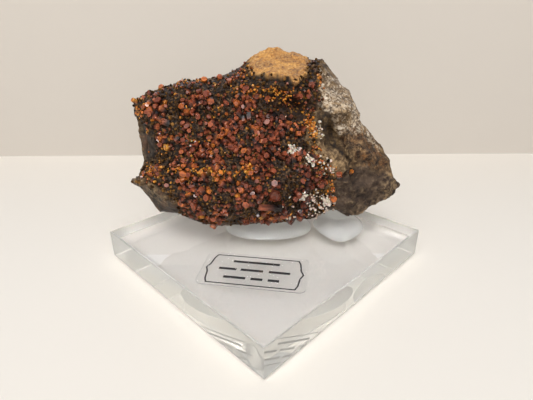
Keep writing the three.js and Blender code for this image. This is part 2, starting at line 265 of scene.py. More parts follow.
# the stone: reliefs in millimetres, and how far the crust or the cap, and the smooth sides, calm each
stoneSettings = {
    "cuts": 8,
    "smoothing": 4,
    "bigChips": {"spacing": 8.5, "dish": 0.24, "tilt": 0.26, "seed": 3},
    "smallChips": {"spacing": 2.8, "dish": 0.36, "tilt": 0.3, "seed": 8},
    "grain": {"size": 0.9, "height": 0.24},
    "lumps": {"size": 3.0, "height": 0.3, "inCrust": 0.5},
    "capGrain": {"size": 1.8, "height": 0.5},
    "calm": {"big": (0.75, 0.6), "small": (0.5, 0.7), "grain": (0.0, 0.7)},
    "capRise": 1.0,
    "underCapSink": 0.7,
    "crustSink": 0.5,
    "ridgeHeight": (0.1, 1.4),
    "sharpEdge": 38,
}
zoneSettings = {
    "soft": 0.8,
    "wobble": {"size": 2.4, "height": 1.3},
    "facing": (-0.25, 0.15),
    "hollowGain": 1.6,
    "underCap": {"reach": (-2.6, -0.4), "wobble": 0.7, "height": (24, 20)},
}


def makeZones(local, normals):
    u, v = local.T[:2]
    front = ramp(*zoneSettings["facing"], normals[:, 2])
    wobble = fractal(local, zoneSettings["wobble"]["size"], 3, 4.0) * zoneSettings["wobble"]["height"]
    soft = zoneSettings["soft"]
    masks = {}
    for name, edge in zones.items():
        masks[name] = ramp(-soft, soft, edgeDistance(edge, u, v) + wobble) * front
    masks["crust"] *= 1 - masks["cap"]
    masks["hollow"] = np.clip(spot(*hollow, u, v) * zoneSettings["hollowGain"], 0, 1) * front
    # the band just under the cap: sunk a little, and painted near-black as the cap's shadow
    under = zoneSettings["underCap"]
    below = ramp(*under["reach"], edgeDistance(zones["cap"], u, v) + wobble * under["wobble"])
    masks["underCap"] = below * (1 - masks["cap"]) * ramp(*under["height"], v) * front
    return masks


def makeStone():
    bm = mergedCopy("matrix")
    bmesh.ops.subdivide_edges(bm, edges=bm.edges[:], cuts=stoneSettings["cuts"], use_grid_fill=True)
    for _ in range(stoneSettings["smoothing"]):
        bmesh.ops.smooth_vert(
            bm, verts=bm.verts, factor=0.5, use_axis_x=True, use_axis_y=True, use_axis_z=True
        )
    bm.normal_update()
    local = toStone([vert.co for vert in bm.verts])
    normals = np.array([vert.normal for vert in bm.verts]) @ stoneAxes.T
    masks = makeZones(local, normals)
    covered = np.clip(masks["crust"] + masks["cap"], 0, 1)
    smooth = np.clip(masks["flank"] + masks["facet"], 0, 1)

    def calmed(relief, kind):
        byCover, bySmooth = stoneSettings["calm"][kind]
        return relief * (1 - byCover * covered) * (1 - bySmooth * smooth)

    big = chips(local, **stoneSettings["bigChips"])
    small = chips(local, **stoneSettings["smallChips"])
    grain, lumps, capGrain = stoneSettings["grain"], stoneSettings["lumps"], stoneSettings["capGrain"]
    rise = calmed(big - big.mean(), "big")
    rise += calmed(small - small.mean(), "small")
    rise += calmed(fractal(local, grain["size"], 3, 1.0) * grain["height"], "grain")
    lumpy = fractal(local, lumps["size"], 2, 7.0)
    rise += lumpy * (lumps["height"] + lumps["inCrust"] * masks["crust"]) * (1 - masks["cap"])
    rise += fractal(local, capGrain["size"], 3, 9.0) * capGrain["height"] * masks["cap"]
    rise += stoneSettings["capRise"] * masks["cap"] - stoneSettings["underCapSink"] * masks["underCap"]
    rise -= stoneSettings["crustSink"] * masks["crust"]
    rim = 0.4 + 0.6 * np.abs(normals[:, 2])  # the outline itself stays close to its place
    moved = local + normals * (rise * rim)[:, None]
    for vert, place in zip(bm.verts, toWorld(moved)):
        vert.co = place
    tree = BVHTree.FromBMesh(bm)
    mesh = meshOf("stone", bm, smooth=True)
    mesh.set_sharp_from_angle(angle=math.radians(stoneSettings["sharpEdge"]))
    # where the chips' ridges stand highest, painted lighter as a highlight
    masks["ridges"] = ramp(*stoneSettings["ridgeHeight"], big + small - (big + small).mean())
    for name, values in masks.items():
        setAttribute(mesh, name, values)
    finishPiece("stone", mesh, materials["hostRock"], ["matrix"])
    print("stage: stone made,", len(mesh.polygons), "faces")
    return tree


# crystals
facetLight = [0.75, 0.35, 0.6, 0.2, 0.9, 0.45] * 2  # how much light each side of a prism seems to hold


def prismTemplate(taper=1.0, bevel=0.14, rim=0.0, dish=0.0, tip=0.0, sides=6):
    # a prism of radius 1 and height 1 that stands on the origin. Its attributes are how near each corner
    # is to the end face's rim, how high it is, and how much light each face seems to hold. The material
    # turns these into a painted glow at the rim, painted shade at the foot and painted shade on the sides.
    bm = bmesh.new()
    bmesh.ops.create_cone(bm, cap_ends=True, segments=sides, radius1=1.0, radius2=taper, depth=1.0)
    bmesh.ops.translate(bm, verts=bm.verts, vec=(0, 0, 0.5))
    top = max(bm.faces, key=lambda face: face.calc_center_median().z)
    if bevel:
        bmesh.ops.bevel(
            bm, geom=list(top.edges), offset=bevel, segments=1, profile=0.5, affect="EDGES", material=-1
        )
        top = max(bm.faces, key=lambda face: face.calc_center_median().z)
    if rim:
        bmesh.ops.inset_region(bm, faces=[top], thickness=rim, depth=0.0)
        bmesh.ops.translate(bm, verts=list(top.verts), vec=(0, 0, -dish))
    if tip:
        poked = bmesh.ops.poke(bm, faces=[top])
        bmesh.ops.translate(bm, verts=poked["verts"], vec=(0, 0, tip))
    bmesh.ops.triangulate(bm, faces=bm.faces)
    bm.verts.index_update()
    verts = np.array([vert.co for vert in bm.verts])
    faces = np.array([[vert.index for vert in face.verts] for face in bm.faces])
    normals = np.array([face.normal for face in bm.faces])
    bm.free()
    height = verts[:, 2]
    nearRim = ramp(0.35 * taper, 0.9 * taper, np.hypot(verts[:, 0], verts[:, 1]))
    side = np.round((np.arctan2(normals[:, 1], normals[:, 0]) / math.tau * sides) % sides).astype(int) % sides
    return {
        "verts": verts,
        "faces": faces,
        # edge paints a glow at the rim and makes the sides lighter towards the top; rise paints shade at the
        # foot
        "edge": np.where(height > height.max() - 0.3, nearRim, 0.4 * height),
        "rise": np.clip(height, 0, 1),
        "facet": np.where(normals[:, 2] > 0.85, 1.0, np.array(facetLight)[side]),
    }


crystalTemplates = [
    prismTemplate(bevel=0.04, rim=0.3),
    prismTemplate(bevel=0.07, rim=0.24, dish=0.18),
    prismTemplate(taper=0.8, bevel=0.06, rim=0.3),
    prismTemplate(bevel=0.1, rim=0.26),
    prismTemplate(taper=0.75, bevel=0.05, rim=0.3, sides=5),
    prismTemplate(taper=0.9, bevel=0.08, rim=0.3, sides=4),
]
crystalShares = [0.4, 0.14, 0.16, 0.08, 0.14, 0.08]
grainTemplates = [
    prismTemplate(taper=0.85, bevel=0, tip=0.55),
    prismTemplate(bevel=0.25),
    prismTemplate(taper=0.7, bevel=0.2),
]
grainHeadings = (0, 6.28)  # radians: a grain may lean any way round


def stamped(name, templates, placements, material, replaced=()):
    # one mesh of many small shapes: each placement is a template's number, a matrix and a tint
    used = [templates[which] for which, _, _ in placements]
    vertList = []
    faceList = []
    start = 0
    for template, (_, matrix, _) in zip(used, placements):
        grid = np.array(matrix)
        vertList.append(template["verts"] @ grid[:3, :3].T + grid[:3, 3])
        faceList.append(template["faces"] + start)
        start += len(template["verts"])
    mesh = bpy.data.meshes.new(name)
    mesh.from_pydata(np.concatenate(vertList).tolist(), [], np.concatenate(faceList).tolist())
    for attribute, domain in (("edge", "POINT"), ("rise", "POINT"), ("facet", "FACE")):
        setAttribute(mesh, attribute, np.concatenate([template[attribute] for template in used]), domain)
    tints = [tint for _, _, tint in placements]
    setAttribute(mesh, "tint", np.repeat(tints, [len(template["verts"]) for template in used]))
    return finishPiece(name, mesh, material, replaced)


def standing(point, axis, radius, length, spin, squeeze=1.0):
    # places a unit shape at a point in metres, along an axis, with its sizes in millimetres
    turn = Vector(axis).to_track_quat("Z", "Y").to_matrix().to_4x4()
    size = Matrix.Diagonal((radius * mm * squeeze, radius * mm / squeeze, length * mm, 1))
    return Matrix.Translation(point) @ turn @ Matrix.Rotation(spin, 4, "Z") @ size


def faceBelow(tree, u, v):
    above = 45  # millimetres out from the middle of the stone, clear of its face
    origin = Vector(toWorld([(u, v, above)])[0])
    point, normal, _, _ = tree.ray_cast(origin, directionToWorld((0, 0, -1)))
    return point, normal


def tilted(axis, angle, heading):
    side = axis.orthogonal().normalized()
    side.rotate(Matrix.Rotation(heading, 3, axis))
    return axis * math.cos(angle) + side * math.sin(angle)


def thinned(candidates, reach):
    # keeps those of (u, v, radius), in order, that stand clear of the ones kept before
    kept = []
    grid = {}
    cell = 3.0
    for u, v, radius in candidates:
        key = (int(u // cell), int(v // cell))
        near = [q for i in (-1, 0, 1) for j in (-1, 0, 1) for q in grid.get((key[0] + i, key[1] + j), ())]
        if all(math.hypot(u - a, v - b) > reach * (radius + r) for a, b, r in near):
            grid.setdefault(key, []).append((u, v, radius))
            kept.append((u, v, radius))
    return kept


crustSettings = {
    "passes": [  # how many are tried, their radii, how much they keep to clumps
        {"count": 3600, "radius": (0.72, 1.08), "clump": 1.0},
        {"count": 4000, "radius": (0.5, 0.7), "clump": 0.95},
        {"count": 2600, "radius": (0.3, 0.46), "clump": 0.85},
    ],
    "clumpSize": 3.6,
    "clumpEdge": 0.16,
    "reach": 0.52,
    "big": 0.5,  # the radius that a big crystal is over
    "upper": {"above": 4, "big": 3.2, "small": 0.5},  # how far in from the edge crystals keep, up here
    "lower": {"big": 1.1, "small": 0.1},
    "foot": {"below": -18, "more": 0.7},
    "ragged": {"rightOf": 8, "height": 3.0, "size": 2.6},  # it frays out over the right-hand rock
    "bare": {"over": 0.45, "gain": 1.15},
    "seed": 21,
    "turnedAway": (0.35, 0.75),  # how square a face must be to the front, and how many are dropped if not
    "outward": 0.35,
    "tilt": (12, 85),
    "length": (1.5, 2.8),
    "sunk": (0.15, 0.6),
    "squeeze": (0.78, 1.25),
}
tintSpots = [  # where crystals are brighter and more orange, or duller, and by how much
    ((-40, 12), (4, 3), 0, 0.35),
    ((-33, 8.5), (4, 2.5), -20, 0.15),
    ((-18, -8.6), (14, 1.6), -4, 0.22),
    ((12, 3), (3, 5), 20, 0.25),
    ((18, -8), (3, 3), 0, 0.2),
    ((-4, 14), (8, 3), 0, 0.12),
    ((4, 9), (12, 4), -10, -0.22),
    ((15.5, 20), (2.5, 7), 0, -0.2),
    ((-16, -25), (10, 2.5), -5, -0.05),
    ((10, -16), (11, 7), 0, -0.18),
    ((-26, 15), (8, 4), 10, -0.08),
]


def regionTint(u, v):
    return float(sum(more * spot(*place, u, v) for *place, more in tintSpots))


groundSettings = {
    "count": 4500, "radius": (0.25, 0.6), "reach": 0.85, "seed": 33, "length": (0.8, 1.8), "lean": 60,
    "sunk": 0.4, "squeeze": (0.7, 1.3), "fray": {"past": 0.4, "height": 2.4, "size": 2.2},
}


def makeGround(tree):
    # the dark, rough bed of tiny crystals that the bright ones stand in
    rng = np.random.default_rng(groundSettings["seed"])
    fray = groundSettings["fray"]
    edge = zones["crust"]
    spots = rng.uniform(np.min(edge, 0), np.max(edge, 0), (groundSettings["count"], 2))
    grains = np.column_stack([spots, rng.uniform(*groundSettings["radius"], len(spots))])
    frayed = fray["height"] * fractal(grains, fray["size"], 3, 6.0) - fray["past"]
    keep = edgeDistance(edge, *spots.T) > frayed
    plan = []
    for u, v, radius in thinned([tuple(row) for row in grains[keep]], groundSettings["reach"]):
        point, normal = faceBelow(tree, u, v)
        if point is None:
            continue
        lean = math.radians(rng.uniform(0, groundSettings["lean"]))
        axis = tilted(Vector(normal), lean, rng.uniform(*grainHeadings))
        length = radius * rng.uniform(*groundSettings["length"])
        foot = Vector(point) - axis * length * groundSettings["sunk"] * mm
        spin = rng.uniform(0, 1)
        place = standing(foot, axis, radius, length, spin, rng.uniform(*groundSettings["squeeze"]))
        plan.append((int(rng.integers(len(grainTemplates))), place, rng.random()))
    stamped("crust_bed", grainTemplates, plan, materials["crustBed"])
    print("stage: crust_bed,", len(plan), "grains")


def crustPlaces(rng):
    edge = zones["crust"]
    low, high = np.min(edge, 0), np.max(edge, 0) + (2, 0)
    upper, lower, foot = crustSettings["upper"], crustSettings["lower"], crustSettings["foot"]
    ragged, bare = crustSettings["ragged"], crustSettings["bare"]
    wanted = []
    for step in crustSettings["passes"]:
        spots = rng.uniform(low, high, (step["count"], 2))
        radii = rng.uniform(*step["radius"], step["count"])
        u, v = spots.T
        isUpper = v > upper["above"]
        margins = {size: np.where(isUpper, upper[size], lower[size]) for size in ("big", "small")}
        margin = np.where(radii > crustSettings["big"], margins["big"], margins["small"])
        margin = margin + foot["more"] * (v < foot["below"])
        flat = np.column_stack([spots, np.zeros(len(spots))])
        fray = ragged["height"] * fractal(flat, ragged["size"], 3, 5.0) * (u > ragged["rightOf"])
        inside = edgeDistance(edge, u, v) + fray > margin + radii * 0.4
        clump = fractal(flat, crustSettings["clumpSize"], 2, 11.0)
        chance = 1 - step["clump"] * ramp(crustSettings["clumpEdge"], -crustSettings["clumpEdge"], clump)
        bareness = np.clip(bare["gain"] * sum(spot(*place, u, v) for place in bareSpots), 0, 1)
        chance *= 1 - bareness * (radii > bare["over"])
        keep = inside & (rng.random(step["count"]) < chance)
        wanted += [tuple(row) for row in np.column_stack([spots, radii])[keep]]
    return thinned(wanted, crustSettings["reach"])


tintSettings = {
    "middle": 0.42, "patch": {"size": 4.0, "share": 0.14}, "vary": 0.09, "most": 0.68,
    "bright": (0.7, 0.9), "brightBig": 0.02, "brightSmall": 0.06,
}


def crystalTint(u, v, radius, rng):
    # neighbours are alike, and a few stand out in orange, most of them small
    patch = tintSettings["patch"]
    shift = noise.fractal(Vector((u, v, 3.0)) / patch["size"], *noiseShape, 2)
    local = tintSettings["middle"] + patch["share"] * shift + rng.normal(0, tintSettings["vary"])
    local = min(local, tintSettings["most"])
    chance = tintSettings["brightBig"] if radius > crustSettings["big"] else tintSettings["brightSmall"]
    return rng.uniform(*tintSettings["bright"]) if rng.random() < chance else local


def makeCrust(tree):
    rng = np.random.default_rng(crustSettings["seed"])
    nodes = ["druse_upper", "druse_hollow", "druse_right_column", "druse_lower"]
    corners = {name: np.array([vert.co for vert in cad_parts[name].data.vertices]) for name in nodes}
    plans = {name: [] for name in nodes}
    outward = directionToWorld((0, 0, 1))
    square, dropped = crustSettings["turnedAway"]
    for u, v, radius in crustPlaces(rng):
        point, normal = faceBelow(tree, u, v)
        if point is None or (normal.dot(outward) < square and rng.random() < dropped):
            continue
        owner = min(nodes, key=lambda name: ((corners[name] - np.array(point)) ** 2).sum(1).min())
        out = Vector(normal).lerp(outward, crustSettings["outward"]).normalized()
        tilt = math.radians(rng.uniform(*crustSettings["tilt"]))
        axis = tilted(out, tilt, rng.uniform(0, math.tau))
        length = radius * rng.uniform(*crustSettings["length"])
        sunk = Vector(point) - axis * length * rng.uniform(*crustSettings["sunk"]) * mm
        which = int(rng.choice(len(crystalTemplates), p=crystalShares))
        tint = crystalTint(u, v, radius, rng) + regionTint(u, v)
        spin = rng.uniform(0, math.pi / 3)
        place = standing(sunk, axis, radius, length, spin, rng.uniform(*crustSettings["squeeze"]))
        plans[owner].append((which, place, min(1.0, max(0.0, tint))))
    for name, plan in plans.items():
        piece = name.replace("druse", "crust")
        stamped(piece, crystalTemplates, plan, materials["vanadinite"], [name])
        print("stage:", piece, len(plan), "crystals")


# single crystals, each in the place of its plain solid
loneCrystals = {  # axis in the stone's u, v, w, radius and length in millimetres, template, tint
    "corner_crystal": ((-0.6, 0.3, 0.8), 0.95, 1.8, 2, 0.76),
    "top_edge_crystal": ((-0.2, 0.6, 0.8), 1.15, 2.4, 2, 0.62),
    "pink_crystal": ((0.1, 0.5, 0.8), 1.0, 2.0, 0, 0.62),
    "red_crystal": ((0.3, 0.4, 0.8), 1.0, 1.9, 3, 0.5),
    "large_hexagon": ((0.1, -0.1, 1.0), 1.85, 2.6, 1, 0.24),
    "stray_crystal": ((-0.3, 0.35, 0.8), 1.3, 2.2, 4, 0.5),
    "stray_companion": ((0.5, 0.5, 0.6), 0.8, 1.8, 2, 0.7),
}
loneSettings = {"sunk": 0.4, "spin": 0.3}
longPrism = {
    "node": "long_prism", "radius": 1.05, "length": 7.0, "tint": 0.42, "template": 1,
    "axis": (-1.0, 0.06, 0.12),  # it lies along the stone, and its lighter end face looks left
    "lift": 0.8,
}


def nodeMiddle(node):
    low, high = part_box(node)
    return toStone((Vector(low) + Vector(high)) / 2)


def makeLoneCrystals(tree):
    fines = {}
    for node, (way, radius, length, which, tint) in loneCrystals.items():
        u, v, _ = nodeMiddle(node)
        point, _ = faceBelow(tree, u, v)
        axis = directionToWorld(way).normalized()
        foot = point - axis * length * loneSettings["sunk"] * mm
        fines[node] = (which, standing(foot, axis, radius, length, loneSettings["spin"]), tint)
    u, v, _ = nodeMiddle(longPrism["node"])
    half = longPrism["length"] / 2
    axis = directionToWorld(longPrism["axis"]).normalized()
    heights = [toStone(faceBelow(tree, u + step, v)[0])[2] for step in (-half, 0, half)]
    resting = sum(heights) / len(heights) + longPrism["radius"] * longPrism["lift"]
    foot = Vector(toWorld([(u + half, v, resting)])[0])
    place = standing(foot, axis, longPrism["radius"], longPrism["length"], 0.0)
    fines[longPrism["node"]] = (longPrism["template"], place, longPrism["tint"])
    for node, fine in fines.items():
        stamped("fine_" + node, crystalTemplates, [fine], materials["vanadinite"], [node])


# white quartz tufts and yellow crusts, with loose grains of both around them
tufts = {
    "quartz": {
        "nodes": ["quartz_upper", "quartz_middle", "quartz_lower", "quartz_right", "quartz_bottom"],
        "each": 34, "radius": (0.28, 0.55), "length": (0.6, 1.1), "spread": 60, "seed": 5, "reach": 0.95,
    },
    "yellow_crust": {
        "nodes": ["yellow_bottom", "orange_edge", "yellow_shelf"],
        "each": 30, "radius": (0.28, 0.5), "length": (0.5, 1.0), "spread": 60, "seed": 6, "reach": 1.1,
    },
}
grainSettings = {"lift": 0.7, "sunk": 0.25, "lean": (0.5, 0.2), "outward": 0.4, "turnedAway": 0.2}
looseGrains = {  # middle, half widths, turn in degrees, how many
    "quartz": [
        ((12.5, -4.5), (4.5, 1.6), -25, 26),
        ((18.8, -8.0), (2.4, 2.6), 0, 20),
        ((14.5, -17.5), (5.0, 3.2), 0, 60),
        ((19.5, -21.5), (3.0, 3.2), 0, 34),
        ((10.5, -23.5), (4.5, 1.2), 0, 24),
        ((16.0, 3.5), (1.0, 4.0), 20, 16),
        ((-26, -0.5), (8.0, 3.0), 0, 12),
    ],
    "yellow_crust": [
        ((1.5, 14.2), (8.0, 2.0), -8, 90),
        ((-6.0, 21.0), (2.6, 2.2), 0, 26),
        ((17.0, 18.8), (0.5, 2.2), 0, 26),
        ((14.0, 3.0), (1.2, 5.0), 12, 60),
        ((17.0, -6.2), (4.2, 1.0), -40, 34),
        ((20.8, -14.0), (1.0, 6.0), 0, 26),
        ((-17, -8.6), (14.0, 1.3), -4, 90),
        ((-35, -8.6), (4.5, 2.4), -20, 40),
        ((-37.5, 11.0), (3.5, 3.5), 0, 36),
        ((-22, 18.6), (9.0, 1.6), 5, 34),
        ((2.5, -24.0), (6.0, 1.2), 5, 50),
        ((-16, 2.0), (22.0, 14.0), 0, 100),
    ],
}


def makeTufts(tree):
    outward = directionToWorld((0, 0, 1))
    aside, out = grainSettings["lean"]
    for slotName, plan in tufts.items():
        rng = np.random.default_rng(plan["seed"])

        def oneGrain(u, v, lean, small=1.0):
            point, normal = faceBelow(tree, u, v)
            if point is None or normal.dot(outward) < grainSettings["turnedAway"]:
                return None
            radius = rng.uniform(*plan["radius"]) * small
            length = rng.uniform(*plan["length"]) * small
            straight = Vector(normal).lerp(outward, grainSettings["outward"]).normalized()
            spread = math.radians(rng.uniform(0, plan["spread"]))
            axis = tilted(straight, spread, rng.uniform(*grainHeadings))
            if lean is not None:
                axis = (axis + lean).normalized()
            foot = point - axis * length * grainSettings["sunk"] * mm
            which = int(rng.integers(len(grainTemplates)))
            return which, standing(foot, axis, radius, length, rng.uniform(0, 1)), rng.random()

        for node in plan["nodes"]:
            u, v, _ = nodeMiddle(node)
            placed = []
            while len(placed) < plan["each"]:
                away = rng.normal(0, plan["reach"] * 0.6, 2)
                lean = directionToWorld((*away * aside, out))
                grain = oneGrain(u + away[0], v + away[1], lean)
                if grain:
                    which, place, tint = grain
                    # the middle of a tuft stands highest
                    lift = max(0.0, 1.0 - np.hypot(*away)) * grainSettings["lift"] * mm
                    placed.append((which, Matrix.Translation(outward * lift) @ place, tint))
            stamped("fine_" + node, grainTemplates, placed, materials[slotName], [node])
        loose = []
        for middle, half, degrees, count in looseGrains[slotName]:
            turn = math.radians(degrees)
            for du, dv in rng.normal(0, 0.6, (count, 2)) * half:
                u = middle[0] + du * math.cos(turn) - dv * math.sin(turn)
                v = middle[1] + du * math.sin(turn) + dv * math.cos(turn)
                grain = oneGrain(u, v, None, rng.uniform(0.6, 1.0))
                if grain:
                    loose.append(grain)
        stamped("loose_" + slotName, grainTemplates, loose, materials[slotName])
        print("stage:", slotName, len(loose), "loose grains")


# gel pads
pads = {  # middle and half widths in millimetres on the slab's top, a power under 2 squares the outline off
    "gel_pad_front": {
        "skirt": {"at": (1.4, 4.0), "half": (15.2, 10.6, 2.5), "turn": 0, "power": 2.3},
        "core": {"at": (0.0, 7.0), "half": (12.0, 7.5, 4.8)},
    },
    "gel_pad_right": {
        "skirt": {"at": (26.4, 4.4), "half": (8.9, 12.6, 2.2), "turn": -8, "power": 1.6},
        "core": {"at": (25.4, 10.5), "half": (6.4, 6.2, 6.0)},
    },
}
padSettings = {
    "around": 72, "down": 36, "sunk": 0.03, "clear": 0.06, "wave": 0.22, "waveSize": 4.0, "top": 10.0,
    "join": 1.5,  # how sharply the skirt and the core meet
}


def padReach(plan, way):
    # how far the pad reaches from its skirt's middle: the skirt and the core, softly joined
    skirt, core = plan["skirt"], plan["core"]
    turn = math.radians(skirt["turn"])
    x = way.x * math.cos(turn) + way.y * math.sin(turn)
    y = way.y * math.cos(turn) - way.x * math.sin(turn)
    power = skirt["power"]
    flat = (abs(x / skirt["half"][0]) ** power + abs(y / skirt["half"][1]) ** power) ** (2 / power)
    thin = 1 / math.sqrt(flat + (way.z / skirt["half"][2]) ** 2)
    half = np.array(core["half"])
    start = np.array((skirt["at"][0] - core["at"][0], skirt["at"][1] - core["at"][1], 0)) / half
    step = np.array(way) / half
    a, b, c = step @ step, start @ step, start @ start - 1
    thick = (-b + math.sqrt(b * b - a * c)) / a
    join = padSettings["join"]
    return math.log(math.exp(thin * join) + math.exp(thick * join)) / join


def makePads(tree):
    top = padSettings["top"]
    for node, plan in pads.items():
        bm = bmesh.new()
        around, down = padSettings["around"], padSettings["down"]
        bmesh.ops.create_uvsphere(bm, u_segments=around, v_segments=down, radius=1.0)
        middle = Vector((*plan["skirt"]["at"], top))
        for vert in bm.verts:
            way = vert.co.normalized()
            way.z = max(way.z, 0.0)
            place = middle.copy()
            if way.length > 0.02:
                way.normalize()
                place += way * padReach(plan, way)
            place.z += padSettings["wave"] * noise.noise(place / padSettings["waveSize"]) * (place.z - top)
            hit = tree.ray_cast(Vector((place.x, place.y, 0)) * mm, Vector((0, 0, 1)))[0]
            if hit is not None:
                place.z = min(place.z, hit.z / mm - padSettings["clear"])
            if way.z < 0.001:
                place.z = top - padSettings["sunk"]
            vert.co = place * mm
        bmesh.ops.remove_doubles(bm, verts=bm.verts, dist=0.01 * mm)
        bmesh.ops.recalc_face_normals(bm, faces=bm.faces)
        mesh = meshOf("fine_" + node, bm, smooth=True)
        mesh.set_sharp_from_angle(angle=math.radians(45))
        finishPiece("fine_" + node, mesh, materials["gel"], [node])


# the label: a clear film, a thin printed frame with pointed ends, and rows for writing
labelSettings = {
    "at": (-2.9, -24.4), "turn": -9.3, "sunk": 0.03, "ink": 0.012, "printAt": 9.94,
    "half": (12.6, 7.2), "line": 0.46,
    "end": [(1.0, 0.0), (0.74, 0.75), (0.28, 1.1), (0.0, 1.95)],  # share of the half height, and how far out
    "rows": [  # middle of each bar and its length, from the top row down
        (4.1, [(0.0, 14.0)]),
        (0.1, [(-7.9, 5.2), (-0.7, 6.6), (7.4, 6.2)]),
        (-3.9, [(-5.0, 6.4), (1.4, 3.4), (6.2, 3.2)]),
    ],
    "rowHeight": 1.1,
}


def makeLabel():
    settings = labelSettings
    film = mergedCopy("label")
    bmesh.ops.translate(film, verts=film.verts, vec=(0, 0, -settings["sunk"] * mm))
    finishPiece("label_sheet", meshOf("label_sheet", film), materials["film"], ["label"])
    halfWidth, halfHeight = settings["half"]
    bm = bmesh.new()
    # from the lower right corner up to the point of that end, then mirrored up and across
    quarter = [(halfWidth + out, -share * halfHeight) for share, out in settings["end"]]
    end = quarter + [(x, -y) for x, y in reversed(quarter[:-1])]
    outline = end + [(-x, -y) for x, y in end]
    face = bm.faces.new([bm.verts.new((x, y, 0)) for x, y in outline])
    face.normal_update()
    if face.normal.z < 0:
        face.normal_flip()
    bmesh.ops.inset_region(
        bm, faces=[face], thickness=settings["line"], use_even_offset=True, use_boundary=True
    )
    bmesh.ops.delete(bm, geom=[face], context="FACES")
    bmesh.ops.solidify(bm, geom=bm.faces[:], thickness=settings["ink"])
    for row, bars in settings["rows"]:
        for middle, length in bars:
            made = bmesh.ops.create_cube(bm, size=1.0)["verts"]
            bmesh.ops.scale(bm, verts=made, vec=(length, settings["rowHeight"], settings["ink"]))
            bmesh.ops.translate(bm, verts=made, vec=(middle, row, settings["ink"] / 2))
    bmesh.ops.recalc_face_normals(bm, faces=bm.faces)
    turn = Matrix.Rotation(math.radians(settings["turn"]), 4, "Z")
    shift = Matrix.Translation((*settings["at"], settings["printAt"]))
    place = Matrix.Diagonal((mm, mm, mm, 1)) @ shift @ turn
    bmesh.ops.transform(bm, matrix=place, verts=bm.verts)
    finishPiece("label_print", meshOf("label_print", bm), materials["ink"])


# materials: the sizes of their patterns are in millimetres
rockNoises = {  # the grain of the rock is finer than these, and is drawn this coarse to show
    "broad": {"Scale": perSize(9), "Detail": 5.0},
    "patch": {"Scale": perSize(4.5), "Detail": 4.0, "Roughness": 0.6, "Distortion": 0.6},
    "fine": {"Scale": perSize(1.6), "Detail": 6.0, "Roughness": 0.65},
    "streaks": {"Scale": perSize(3.4), "Detail": 9.0, "Roughness": 0.75, "Distortion": 0.5},
    "grain": {"Scale": perSize(0.7), "Detail": 3.0},
}
rockRamps = {  # the noise that each reads, and its stops
    "base": ("broad", [(0.3, "#2a1e13"), (0.45, "#4a3825"), (0.58, "#675039"), (0.75, "#86694a")]),
    "speckle": ("fine", [(0.35, "#1a110a"), (0.5, "#584229"), (0.68, "#a3865f")]),
    "brown": ("fine", [(0.38, "#1c0f06"), (0.52, "#452b15"), (0.66, "#79532d")]),
    "darkPatch": ("patch", [(0.38, "#1f1611"), (0.52, "#3d2e23"), (0.66, "#614f40")]),
    "darkFine": ("fine", [(0.38, "#19110c"), (0.55, "#453528"), (0.68, "#78664f")]),
    "vein": ("streaks", [(0.43, 0.0), (0.52, 0.75), (0.6, 1.0)]),
    "veinBreaks": ("grain", [(0.44, 0.1), (0.56, 1.0)]),
    "pale": ("patch", [(0.4, "#b39a7b"), (0.6, "#dccdb8")]),
    "thinVein": ("streaks", [(0.495, 0.0), (0.505, 0.5), (0.515, 0.0)]),
    "grey": ("patch", [(0.36, "#1e1814"), (0.5, "#433a32"), (0.6, "#583f30"), (0.68, "#7d6f60")]),
    # painted highlight on the chip ridges, broken up by fine noise
    "worn": ("fine", [(0.45, 0.0), (0.62, 0.5)]),
    # dark brown rock, painted darker still as shade in the concave scoop
    "scoop": ("fine", [(0.38, "#191009"), (0.52, "#3d2d1a"), (0.66, "#665033")]),
    # manganese-dark rock under the crust, painted darker as the shade between the crystals
    "bed": ("grain", [(0.38, "#0d0805"), (0.5, "#281a10"), (0.6, "#483320"), (0.7, "#725434")]),
    # painted shade: near-black in the recess below the cap
    "hollow": ("fine", [(0.4, "#0f0906"), (0.65, "#3d281a")]),
    "capGrain": ("grain", [(0.32, "#6b4828"), (0.43, "#a3743f"), (0.56, "#c08c4c"), (0.74, "#dcb67a")]),
    "capPatch": ("patch", [(0.4, "#6e503c"), (0.47, "#a57038"), (0.58, "#d09b54")]),
}


